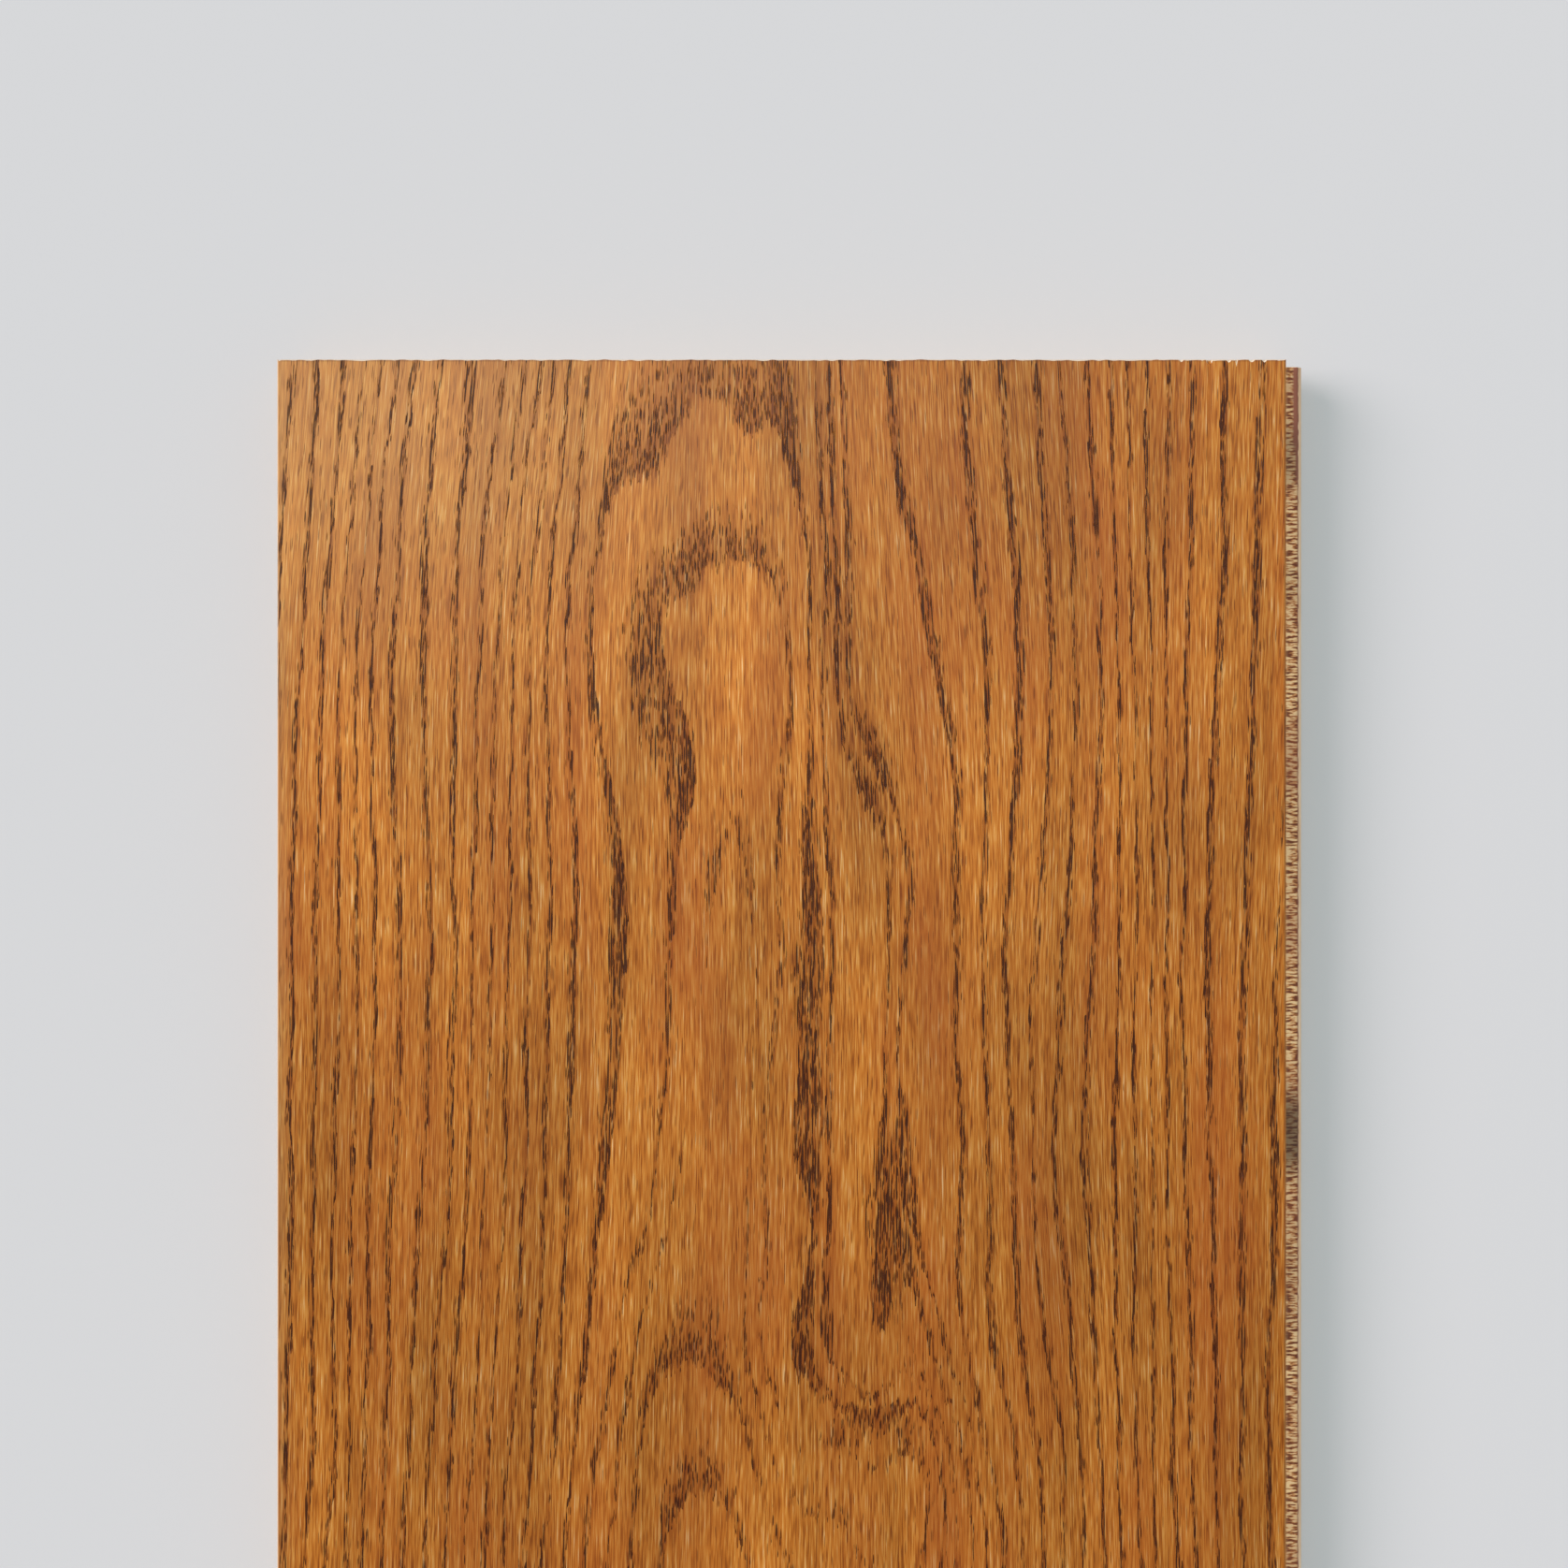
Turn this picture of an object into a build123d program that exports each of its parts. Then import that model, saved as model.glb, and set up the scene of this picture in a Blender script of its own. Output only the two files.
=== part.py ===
"""Engineered oak floorboard: an oak wear layer glued to a base of cross-laminated plies.

A tongue runs along the right long side and a groove along the left one, so that boards lie edge to
edge. The board lies face up. X runs across it, towards the tongue, Y along it and Z up. The origin
is the centre of the underside, midway between the groove side and the tip of the tongue.
"""

import os

from build123d import *

# Driving sizes, in millimetres
board_length = 1900.0
face_width = 190.0  # the oak that shows when boards are laid, without the tongue
eased_edge = 0.4  # 45 degree easing along both long edges of the face

oak_thickness = 4.0
ply_thickness = 1.375
ply_count = 8
plies_above_tongue = 1
plies_in_tongue = 3

tongue_projection = 4.0
tongue_nose = 1.0  # 45 degree chamfers at the tip of the tongue
tongue_end_setback = 0.8  # the sawn ends leave the tongue this much short of the face

groove_play_above = 0.05  # between tongue and groove once two boards lie flush
groove_play_below = 0.15
groove_play_end = 0.5
groove_mouth = 0.4  # 45 degree lead-in on both lips
lower_lip_setback = 0.5  # keeps the lower lip clear, so that the faces close first

# Heights of the glue lines that the tongue lies between
base_thickness = ply_count * ply_thickness
board_thickness = base_thickness + oak_thickness
tongue_top = base_thickness - plies_above_tongue * ply_thickness
tongue_bottom = tongue_top - plies_in_tongue * ply_thickness

# Places across the board
groove_side = -(face_width + tongue_projection) / 2
tongue_side = groove_side + face_width
tongue_tip = tongue_side + tongue_projection
lower_lip = groove_side + lower_lip_setback

# The groove takes the tongue of the next board, with play all round it
groove_top = tongue_top + groove_play_above
groove_bottom = tongue_bottom - groove_play_below
groove_floor = groove_side + tongue_projection + groove_play_end


def section(x_low, x_high, z_low, z_high):
    """A rectangle of the board's cross-section, given by the places of its sides."""
    middle = Pos((x_low + x_high) / 2, (z_low + z_high) / 2)
    return Plane.XZ * middle * Rectangle(x_high - x_low, z_high - z_low)


def body_section():
    """The board's cross-section without its tongue: eased face, groove and its two lips."""
    blank = section(groove_side, tongue_side, 0, board_thickness)
    blank = chamfer(blank.vertices().group_by(Axis.Z)[-1], eased_edge)
    grooved = blank - section(groove_side, groove_floor, groove_bottom, groove_top)
    grooved = grooved - section(groove_side, lower_lip, 0, groove_bottom)
    at_groove = grooved.vertices().filter_by_position(Axis.Z, groove_bottom, groove_top)
    lip_corners = at_groove.filter_by_position(Axis.X, groove_side, lower_lip)
    return chamfer(lip_corners, groove_mouth)


def tongue_section():
    """The tongue's cross-section, from the board's side to its chamfered nose."""
    blank = section(tongue_side, tongue_tip, tongue_bottom, tongue_top)
    return chamfer(blank.vertices().group_by(Axis.X)[-1], tongue_nose)


def milled_board():
    """The whole board as one solid, before it is told apart into its layers."""
    body = extrude(body_section(), board_length / 2, both=True)
    tongue_half_length = board_length / 2 - tongue_end_setback
    tongue = extrude(tongue_section(), tongue_half_length, both=True)
    return body + tongue


def layer(board, z_low, z_high):
    """The part of the milled board between two glue lines."""
    slab = Box(tongue_tip - groove_side, board_length, z_high - z_low)
    return (board & Pos(0, 0, (z_low + z_high) / 2) * slab).solid()


def ply_name(number):
    """Plies are counted down from the oak, and their grain turns by a right angle each time."""
    grain = "cross" if number % 2 else "long"
    return f"ply_{number}_{grain}_grain"


def layers():
    """Every layer by name, from the face down."""
    board = milled_board()
    named = {"oak_wear_layer": layer(board, base_thickness, board_thickness)}
    for number in range(1, ply_count + 1):
        z_high = base_thickness - (number - 1) * ply_thickness
        named[ply_name(number)] = layer(board, z_high - ply_thickness, z_high)
    return named


os.makedirs("parts", exist_ok=True)
for name, solid in layers().items():
    solid.label = name
    export_step(solid, f"parts/{name}.step")
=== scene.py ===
"""Looks of the engineered oak floorboard: a stained, lacquered oak face on a base of crossed plies."""

import math
from functools import partial

import bmesh
import bpy
import numpy as np
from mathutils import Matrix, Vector, noise


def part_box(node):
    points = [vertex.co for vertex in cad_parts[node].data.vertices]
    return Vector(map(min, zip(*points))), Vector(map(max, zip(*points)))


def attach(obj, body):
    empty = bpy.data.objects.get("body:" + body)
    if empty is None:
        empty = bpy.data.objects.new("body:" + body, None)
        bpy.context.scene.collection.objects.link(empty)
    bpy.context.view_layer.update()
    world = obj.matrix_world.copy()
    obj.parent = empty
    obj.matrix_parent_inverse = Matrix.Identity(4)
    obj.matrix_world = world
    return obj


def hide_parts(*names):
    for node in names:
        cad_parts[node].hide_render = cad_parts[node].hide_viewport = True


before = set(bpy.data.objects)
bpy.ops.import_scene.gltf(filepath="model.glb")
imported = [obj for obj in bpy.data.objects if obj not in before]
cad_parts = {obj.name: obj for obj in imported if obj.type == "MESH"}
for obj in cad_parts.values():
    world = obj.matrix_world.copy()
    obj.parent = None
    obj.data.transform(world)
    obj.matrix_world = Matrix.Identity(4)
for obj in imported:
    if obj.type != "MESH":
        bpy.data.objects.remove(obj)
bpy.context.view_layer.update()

MM = 0.001
TOUCHING = 1e-6  # metres within which two places are the same

# Sizes read from the frame, in metres
oak_low, oak_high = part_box("oak_wear_layer")
upper_ply_low, upper_ply_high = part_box("ply_1_cross_grain")
tongue_low, tongue_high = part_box("ply_2_long_grain")
FACE_HEIGHT = oak_high.z
FACE_LEFT = oak_low.x
FACE_RIGHT = oak_high.x
SAWN_END = oak_high.y
FAR_END = oak_low.y
PLY_THICKNESS = upper_ply_high.z - upper_ply_low.z

# The photograph's frame is 1676 px square. These pixels give the places that were read from it.
PHOTO_SIDE = 1676
PHOTO_LEFT_EDGE = 296.0  # the face's left side
PHOTO_SAWN_END = 383.0  # the visible sawn end
PHOTO_MM_PER_PIXEL = 0.1761  # on the face

CAMERA_ABOVE_FACE = 0.5
CLIP_START = 0.01
SENSOR_WIDTH = 36.0
FLOOR_REACH = 6.0
SKY_LIGHT, SKY_SEEN = 0.3, 0.69  # the world's strength as a light, and as the pale background that is seen
# The lamps: where the light comes from, its strength, how many degrees across it is, and its colour
WINDOW = ((-0.76, 0.24, 0.6), 1.83, 34, "#FFEFEF")
OVERHEAD = ((-0.08, 0.3, 0.95), 1.33, 18, "#F1FFFF")

# Mesh of the oak face
EASED_EDGE = 0.4 * MM
FACE_TILT = 0.6  # a face whose normal points up by more than this belongs to the lacquered top
EDGE_TONE_WIDTH = 0.9 * MM  # how far the darker rim of the stain goes in from the sides
COLUMN_PITCH = 1.25 * MM
FINE_LENGTH = 210 * MM  # from the visible end, where the photograph's rings are
FINE_ROW_PITCH = 2.0 * MM
COARSE_ROW_PITCH = 5.5 * MM

# The saw has torn the face's top edge: a fringe all along it, and chips. The fringe is painted pale, a
# painted highlight
FRINGE = 0.42 * MM
FRINGE_MEAN, FRINGE_SWING, FRINGE_WAVE = 0.85, 0.5, 1.6 * MM  # how its width varies
FRINGE_LEVEL = 0.7 * MM  # how far below the face the torn edge ends
TEAR_RUNS_OUT = 3 * FRINGE_LEVEL
TORN_BELOW = 0.35  # the share of the tear that is left at the fringe's level
LEAST_TEAR = 0.03 * MM
FAR_END_TEAR = 1.6  # no deeper there than this many fringes
END_CUTS = 4  # points that each column's edge gains at the sawn end
# The chips' places, widths and depths, in pixels
CHIPS = (
    (298, 5, 3), (1240, 4, 2), (1262.5, 4.5, 4), (1285, 5, 2.5), (1292.5, 7.5, 7), (1313.5, 5, 4.5),
    (1321.5, 2.4, 9), (1338, 7, 4), (1351.5, 4.5, 4.5), (1367, 6, 2.5),
)

# Torn remains of the cross-grain ply on the tongue, in mm
REMAINS_END_SETBACK = 0.9  # from the sawn ends, just inside the ends of the tongue
REMAINS_ROW_PITCH = 0.5
REMAINS_COLUMNS = 8
REMAINS_HEIGHT = 0.12
REMAINS_LEAST = 0.02
FIBRE_MEAN, FIBRE_SWING, FIBRE_PITCH = 0.55, 0.9, 0.62  # how their height varies along the tongue
FIBRE_LENGTHS = 0.8  # waves of that height across the tongue
OUTWARD_THINNING, CLEAN_THINNING = 0.5, 0.8
NOSE_SHADE_FROM, NOSE_SHADE = 0.8, 2  # parts of the way out, and how fast the darkening grows there: painted shade along the remains' outer edge
REMAINS_WALL = 0.25  # how far down their sides go, into the tongue
REMAINS_UNDER_FACE = 0.3
REMAINS_NARROW, REMAINS_WIDE = 2.15, 3.1  # how far out they are left, beside the sawn end and further on
REMAINS_EDGE = 0.2  # over which they end
TONGUE_NOSE = 1.0  # the nose's width, and how much of it the remains cover
NOSE_COVERED = 0.35
NOSE_RAGGED, NOSE_RAGGED_PITCH = 0.14, 0.9
FRINGE_SEED, NOSE_SEED, FIBRE_SEED = 2.5, 1.5, 4
# In pixels down: where the remains widen, and the stains on them with their reach and darkness
WEDGE_FROM, WEDGE_TO = 456, 525
REMAINS_STAINS = ((1215, 44, 1.0), (484, 34, 0.55), (900, 60, 0.15), (620, 25, 0.25), (1380, 70, 0.2))

# Growth rings near the visible end, traced as pixels of the photograph. A number counts the
# rings outwards from the innermost one that shows there. Each flank ring has one place in each row.
TRACED_ROWS = (385, 520, 680, 850, 1050, 1280, 1530)
LEFT_FLANK_RINGS = {
    18: (317, 307, 297, 291, 288, 287, 285),
    17: (342, 335, 326, 317, 313, 313, 309),
    16: (369, 360, 346, 342, 339, 338, 337),
    15: (393, 379, 369, 363, 366, 359, 359),
    14: (410, 396, 384, 382, 383, 377, 375),
    13: (424, 411, 401, 398, 401, 395, 392),
    12: (447, 433, 424, 424, 432, 422, 414),
    11: (474, 461, 455, 459, 463, 452, 440),
    10: (508, 498, 490, 487, 488, 481, 463),
    9: (546, 525, 516, 510, 507, 502, 486),
    8: (562, 545, 534, 530, 525, 518, 506),
    7: (579, 562, 550, 547, 544, 542, 527),
    6: (596, 580, 566, 568, 567, 561, 549),
    5: (612, 600, 587, 589, 587, 584, 570),
    4: (634, 621, 606, 614, 615, 608, 597),
}
RIGHT_FLANK_RINGS = {
    7: (943, 956, 988, 1017, 1021, 1025, 1048),
    8: (1027, 1033, 1049, 1052, 1050, 1056, 1081),
    9: (1063, 1073, 1085, 1080, 1070, 1080, 1103),
    10: (1105, 1114, 1121, 1120, 1103, 1105, 1132),
    11: (1130, 1138, 1147, 1145, 1130, 1124, 1152),
    12: (1158, 1166, 1172, 1170, 1163, 1157, 1172),
    13: (1185, 1190, 1196, 1197, 1194, 1190, 1195),
    14: (1202, 1206, 1209, 1213, 1212, 1212, 1211),
    15: (1226, 1223, 1227, 1231, 1230, 1231, 1233),
    16: (1246, 1244, 1245, 1245, 1244, 1247, 1250),
    17: (1272, 1270, 1266, 1263, 1260, 1265, 1270),
    18: (1305, 1305, 1301, 1291, 1287, 1294, 1297),
    19: (1345, 1342, 1338, 1334, 1326, 1324, 1326),
    20: (1385, 1381, 1376, 1369, 1362, 1359, 1352),
}
ARCHED_RINGS = {
    0: ((686, 1535), (693, 1505), (702, 1484), (714, 1468), (735, 1459), (752, 1465), (768, 1482),
        (783, 1499), (793, 1518), (800, 1535)),
    1: ((665, 1535), (674, 1470), (686, 1410), (704, 1340), (722, 1260), (738, 1170), (750, 1080),
        (757, 1010), (764, 950), (776, 905), (790, 905), (800, 950), (808, 1010), (808, 1080),
        (804, 1160), (801, 1240), (800, 1320), (796, 1390), (797, 1440), (806, 1490), (818, 1535)),
    2: ((645, 1535), (653, 1480), (661, 1430), (669, 1390), (681, 1350), (692, 1310), (703, 1270),
        (708, 1220), (713, 1150), (717, 1080), (718, 1020), (721, 960), (727, 905), (738, 865),
        (742, 820), (736, 775), (722, 735), (711, 695), (708, 660), (725, 641), (745, 638),
        (753, 616), (770, 602), (800, 601), (817, 612), (830, 642), (838, 690), (842, 735),
        (838, 790), (831, 850), (829, 910), (832, 970), (831, 1020), (825, 1070), (819, 1140),
        (816, 1210), (814, 1270), (816, 1330), (817, 1365), (808, 1400), (811, 1445), (819, 1478),
        (829, 1505), (840, 1535)),
    3: ((616, 1535), (621, 1500), (632, 1400), (641, 1330), (647, 1265), (658, 1200), (664, 1120),
        (670, 1040), (670, 950), (664, 890), (652, 830), (637, 745), (633, 660), (641, 595),
        (651, 545), (668, 515), (690, 510), (704, 498), (714, 476), (726, 460), (733, 438),
        (750, 427), (768, 425), (783, 441), (797, 470), (812, 460), (824, 452), (835, 475),
        (844, 510), (853, 545), (860, 580), (864, 640), (865, 700), (864, 780), (866, 830),
        (857, 870), (855, 910), (861, 960), (863, 1010), (866, 1070), (858, 1130), (850, 1180),
        (847, 1230), (858, 1275), (872, 1300), (867, 1345), (856, 1385), (846, 1425), (847, 1455),
        (862, 1480), (885, 1493), (908, 1513), (930, 1528), (950, 1522), (967, 1506), (982, 1506),
        (998, 1530)),
    4: ((872, 385), (874, 450), (876, 520), (879, 600), (878, 680), (877, 760), (879, 830),
        (882, 900), (885, 950), (887, 1000), (884, 1060), (883, 1120), (882, 1180), (883, 1240),
        (882, 1290), (878, 1340), (877, 1390), (877, 1430), (886, 1460), (905, 1482), (930, 1496),
        (952, 1484), (970, 1470), (985, 1480), (1000, 1510), (1010, 1535)),
    5: ((885, 385), (885, 450), (886, 520), (889, 560), (894, 600), (892, 650), (889, 700),
        (895, 755), (906, 800), (920, 840), (935, 875), (944, 905), (948, 950), (950, 1000),
        (948, 1060), (946, 1120), (945, 1180), (938, 1230), (938, 1270), (934, 1320), (931, 1370),
        (934, 1410), (942, 1430), (951, 1412), (957, 1380), (965, 1352), (974, 1365), (984, 1400),
        (993, 1432), (1003, 1462), (1014, 1500), (1025, 1535)),
    6: ((896, 385), (897, 450), (899, 520), (903, 590), (903, 650), (902, 700), (908, 760),
        (927, 810), (945, 850), (960, 890), (970, 940), (966, 1000), (963, 1050), (957, 1110),
        (957, 1150), (958, 1200), (959, 1250), (964, 1285), (972, 1315), (982, 1350), (995, 1390),
        (1008, 1430), (1022, 1475), (1037, 1530)),
}
# Places that keep a wide ring from doubling, or hold a ring's sharp bend. The third number is the ring's.
BETWEEN_RINGS = (
    (920, 400, 6.5), (930, 520, 6.5), (945, 650, 6.5), (965, 760, 6.5), (985, 860, 6.5),
    (993, 950, 6.5), (993, 1050, 6.5), (988, 1150, 6.5), (990, 1230, 6.5), (1003, 1330, 6.6),
    (915, 930, 4.5), (917, 1030, 4.5), (915, 1130, 4.5), (910, 1230, 4.5), (907, 1330, 4.5),
    (907, 1420, 4.6), (760, 1150, 0.75), (760, 1250, 0.6), (745, 1340, 0.45), (737, 1400, 0.25),
    (884, 1478, 3.5), (906, 1499, 3.5), (930, 1513, 3.5), (953, 1504, 3.5), (974, 1490, 3.5),
    (908, 1514, 3.0), (930, 1529, 3.0), (952, 1523, 3.0),
)
# Fibres followed down the photograph, for the grain's own direction
TRACED_FIBRES = (
    (318, 309, 299, 292, 289, 287, 285), (424, 413, 403, 400, 400, 396, 392),
    (530, 518, 507, 503, 500, 496, 488), (628, 616, 606, 606, 606, 601, 592),
    (768, 766, 764, 764, 766, 764, 760), (892, 896, 901, 907, 910, 908, 906),
    (1010, 1018, 1028, 1036, 1038, 1038, 1042), (1118, 1126, 1132, 1133, 1126, 1126, 1140),
    (1240, 1239, 1239, 1238, 1238, 1239, 1242), (1352, 1349, 1345, 1341, 1335, 1332, 1332),
)
# How dark each flank ring's line is, from 0 to 1
LEFT_FLANK_DARKNESS = {
    18: 0.6, 17: 0.85, 16: 0.9, 15: 0.8, 14: 0.7, 13: 0.85, 12: 0.95, 11: 0.55, 10: 0.85, 9: 0.75,
    8: 0.5, 7: 0.55, 6: 0.75, 5: 0.8, 4: 0.8, 3: 0.8, 2: 0.7, 1: 0.15,
}
RIGHT_FLANK_DARKNESS = {
    0: 0.5, 1: 0.2, 2: 0.55, 3: 0.75, 4: 0.5, 5: 0.7, 6: 0.6, 7: 0.85, 8: 0.7, 9: 0.85, 10: 0.6,
    11: 0.9, 12: 0.8, 13: 0.95, 14: 0.7, 15: 1.0, 16: 1.0, 17: 0.85, 18: 1.0, 19: 0.85, 20: 0.9,
}
# Other rings are each as dark as a fixed draw makes them, between these levels
PLAIN_DARKNESS = (0.35, 1.0)
PLAIN_RINGS, PLAIN_SEED = 80, 7
# Places of the photograph that are darker or paler than the ring they are in, in pixels: across, down,
# reach across, reach down, then the darkness and the early wood's share of the ring's width. A share
# above 1 fills the ring.
DARK_PATCHES = (
    (750, 405, 60, 45, 0.5, 0.45), (680, 485, 40, 35, 0.85, 0.45), (825, 480, 26, 60, 0.9, 0.55),
    (770, 570, 60, 45, 0.95, 0.55), (700, 700, 30, 110, 0.6, 0.72), (728, 830, 18, 60, 0.9, 0.7),
    (668, 1000, 14, 130, 1.0, 0.6), (868, 1110, 20, 250, 1.0, 1.7), (890, 500, 14, 120, 1.0, 0.8),
    (898, 650, 16, 110, 1.1, 0.92), (926, 825, 30, 75, 1.05, 0.95), (956, 1310, 36, 130, 0.75, 1.8),
    (862, 1425, 30, 90, 0.95, 1.1), (735, 1475, 75, 60, 0.85, 0.5), (904, 1130, 18, 260, 0.5, 0.14),
    (936, 1519, 54, 25, 1.8, 1.2), (945, 1458, 50, 24, 0.15, 0.25), (990, 1415, 18, 60, 1.6, 0.5),
    (860, 1524, 24, 32, 0.1, 0.2), (790, 720, 40, 60, 0.1, 0.2), (780, 940, 30, 60, 0.5, 0.6),
    (985, 620, 36, 260, 1.0, 0.19), (1000, 1150, 26, 300, 0.7, 0.17), (750, 1180, 34, 200, 0.1, 0.2),
    (1372, 800, 16, 340, 0.2, 0.2),
)
# Broad lighter and darker parts of the wood, in pixels: across, down, reach across, reach down, change. The
# last, a lighter strip along the right edge, is painted light against the eased edge's shade
BROAD_TONE = 0.95
TONE_AND_PAINTED_LIGHT_PATCHES = (
    (400, 640, 330, 440, 0.15), (760, 700, 90, 170, 0.14), (420, 1500, 330, 330, -0.12),
    (1250, 1480, 380, 420, -0.16), (1250, 500, 300, 300, -0.02), (1380, 950, 22, 900, 0.22),
)
# Parts painted paler, in the same order: a painted sheen of the lacquer at the upper left, and a painted
# highlight along the left edge
PAINTED_SHEEN_PATCHES = ((380, 440, 300, 230, 0.2), (296, 950, 12, 900, 0.14))
EARLY_SHARE_FLANK, EARLY_SHARE_ARCH = 0.32, 0.5  # of a ring's width, where its line is steep and flat
FLANK_SLOPE, ARCH_SLOPE = 0.1, 0.03  # rings to the mm on the face
TRACED_SQUEEZE = 0.35  # a place counts as nearer along the grain than across it
TRACED_SLACK = 60.0  # how far the fitted rings may pass beside the traced ones
PLACES_AT_ONCE = 2000  # worked out together, to spare memory

# The rest of the board is cut from a plain model of the log, in mm, at places along the board
LOG_PLACES = (950, 746, 480, 130, -250, -600, -950)
PITH_DEPTHS = (38, 25, 17, 14, 22, 24, 36)  # the pith under the face
PITH_PLACES = (-10, -15, -9, 6, 10, -2, -14)  # the pith across the board
PITH_WAVES = ((2.4, 31, 0.6), (1.1, 13.5, 0))  # the pith's sway: height, length in mm and start
RING_WIDTH = 3.4
RINGS_OFF = 7.9  # rings between the pith and the ring that is number 0
RIGHT_SIDE_PINCH = 0.88  # the rings are wider on the right of the pith
YEAR_WAVES = ((0.25, 1.7, 0), (0.1, 3.1, 1))  # good and poor years: how many rings, how often, and start
BLEND_FROM, BLEND_TO = 650, 590  # between the traced rings and the log, in mm along the board
MEETING_ROWS = (676, 650, 620, 590)  # where the traced rings are led to the log's
MEETING_REACH, MEETING_COLUMNS = 95, 20

# How things stray by smooth noise: how much, its size across and along in mm, and a seed
PITH_STRAYS = (3.0, 45, 90, 3.1)
RINGS_STRAY = (0.35, 12, 110, 8.7)
GRAIN_STRAYS = (1.5, 150, 260, 5.5)
RIM_STRAYS = (0.5, 400, 9, 6.2)
# The rim of the face at its side, at the end of the eased edge, and where it ends: above 0 it is painted
# paler, a painted highlight, and below 0 the stain has gathered. The right side's is taken off, and is uneven
# about its own level.
LEFT_RIM, RIGHT_RIM, RIGHT_RIM_LEVEL = (1.0, -0.35, 0), (0.15, 0.1, 0), 0.75

# The oak's patterns: sizes in mm across the grain and along it. Real fibres are 0.02 mm wide, so the
# streaks and the fine pores are drawn as coarse as they need to be to show.
RAGGED_EDGE, WAVY_EDGE = (0.42, 6), (5, 22)
PATCHY_STAIN = (3, 30)
STREAKS, FINE_STREAKS, BROAD_STREAKS = (0.6, 32), (0.2, 6), (14, 70)
FINE_SHARE = 0.64  # of the streaks' strength, from the fine ones
LONG_PORES, SHORT_PORES, HAIRLINE_PORES = (0.44, 12.0), (0.3, 3.2), (0.28, 4.2)
# How many of those pores are open: where the stain is full, and anywhere
LONG_OPEN, SHORT_OPEN, HAIRLINE_OPEN = (1.45, 0.0), (1.1, 0.03), (0.6, 0.2)
# A pore in parts of its cell: its dark heart, where its edge lies, and how much that varies
PORE_HEART, PORE_EDGE, PORE_EDGE_VARIES = 0.21, 0.31, 0.14
HALF_OPEN = 0.15  # the range of chance in which a pore is partly open
RAGGED_ACROSS, RAGGED_ALONG, WAVY_ACROSS = 1.1, 6.0, 1.6  # how far a ring's outline strays, in mm
PORE_DEPTH = 0.14 * MM
DARK_END_FROM, DARK_END_TO = 0.75, 0.4  # the stain darkens over these mm from a sawn end

# Patterns on Object coordinates: sizes in mm on each axis, also drawn coarser than the real fibres
RAW_OAK_FIBRES, RAW_OAK_PORES = (0.3571, 16.667, 0.3571), (0.41667, 9.0909, 0.41667)
VENEER_FIBRES = (0.58824, 14.286, 0.58824)  # across, along and through a ply whose grain runs along
VENEER_FIGURE = (38.46, 312.5, 8.333)
VENEER_CONTOURS = 14.0
VENEER_ROUGHNESS = 0.1 * MM
TORN_TICKS, TORN_PATCHES = (2.381, 0.47619, 1000), (100, 16.667, 1000)
PAINTED_LIGHT_BY_FACE = 1.4  # mm of the tongue's top next to the face that are painted brighter: painted light against the shade of the face's step
GLUE_LINE = (0.03, 0.07)  # parts of a ply's thickness, over which the glue line ends


def linear(hex_colour, alpha=1.0):
    """An sRGB hex colour as the linear numbers that a shader takes."""
    parts = [int(hex_colour[i : i + 2], 16) / 255 for i in (1, 3, 5)]
    return (*(p / 12.92 if p <= 0.04045 else ((p + 0.055) / 1.055) ** 2.4 for p in parts), alpha)


def on_face(pixels):
    """Pixels of the photograph as places on the face, in mm."""
    pixels = np.asarray(pixels, float)
    across = FACE_LEFT / MM + (pixels[..., 0] - PHOTO_LEFT_EDGE) * PHOTO_MM_PER_PIXEL
    along = SAWN_END / MM - (pixels[..., 1] - PHOTO_SAWN_END) * PHOTO_MM_PER_PIXEL
    return np.stack([across, along], -1)


class Surface:
    """A thin-plate surface: the smoothest one that passes by the values given at some places."""

    def __init__(self, places, values):
        self.places = np.asarray(places, float)
        count = len(self.places)
        slack = TRACED_SLACK * PHOTO_MM_PER_PIXEL**2
        bend = self.bend(self.places) + slack * np.eye(count)
        tilt = np.c_[np.ones(count), self.places]
        system = np.block([[bend, tilt], [tilt.T, np.zeros((3, 3))]])
        self.weights = np.linalg.solve(system, np.r_[values, 0, 0, 0])

    def bend(self, at):
        """How much each of the surface's own places bends it at other places."""
        apart = (at[:, None] - self.places[None]) * (1.0, TRACED_SQUEEZE)
        square = (apart**2).sum(2)
        return 0.5 * square * np.log(square + 1e-9)

    def at(self, places):
        """The surface's values at some places."""
        bends, tilts = self.weights[:-3], self.weights[-3:]
        parts = np.array_split(places, len(places) // PLACES_AT_ONCE + 1)
        return np.concatenate(
            [self.bend(part) @ bends + np.c_[np.ones(len(part)), part] @ tilts for part in parts]
        )


def traced_rings():
    """The surface of ring numbers that passes through the traced rings."""
    places, numbers = [], []
    for flank in (LEFT_FLANK_RINGS, RIGHT_FLANK_RINGS):
        for number, across in flank.items():
            places += zip(across, TRACED_ROWS)
            numbers += [number] * len(TRACED_ROWS)
    for number, course in ARCHED_RINGS.items():
        places += course
        numbers += [number] * len(course)
    for across, along, number in BETWEEN_RINGS:
        places.append((across, along))
        numbers.append(number)
    columns = np.linspace(-MEETING_REACH, MEETING_REACH, MEETING_COLUMNS)
    across, along = (grid.ravel() for grid in np.meshgrid(columns, MEETING_ROWS))
    log_places = np.stack([across, along], -1)
    return Surface(np.concatenate([on_face(places), log_places]), [*numbers, *log_rings(across, along, 0)])


def grain_lean():
    """The surface that says how far the grain has strayed sideways, in mm, from a straight line."""
    places, strays = [], []
    for course in TRACED_FIBRES:
        middle = sum(course) / len(course)
        places += zip(course, TRACED_ROWS)
        strays += [(place - middle) * PHOTO_MM_PER_PIXEL for place in course]
    return Surface(on_face(places), strays)


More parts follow.
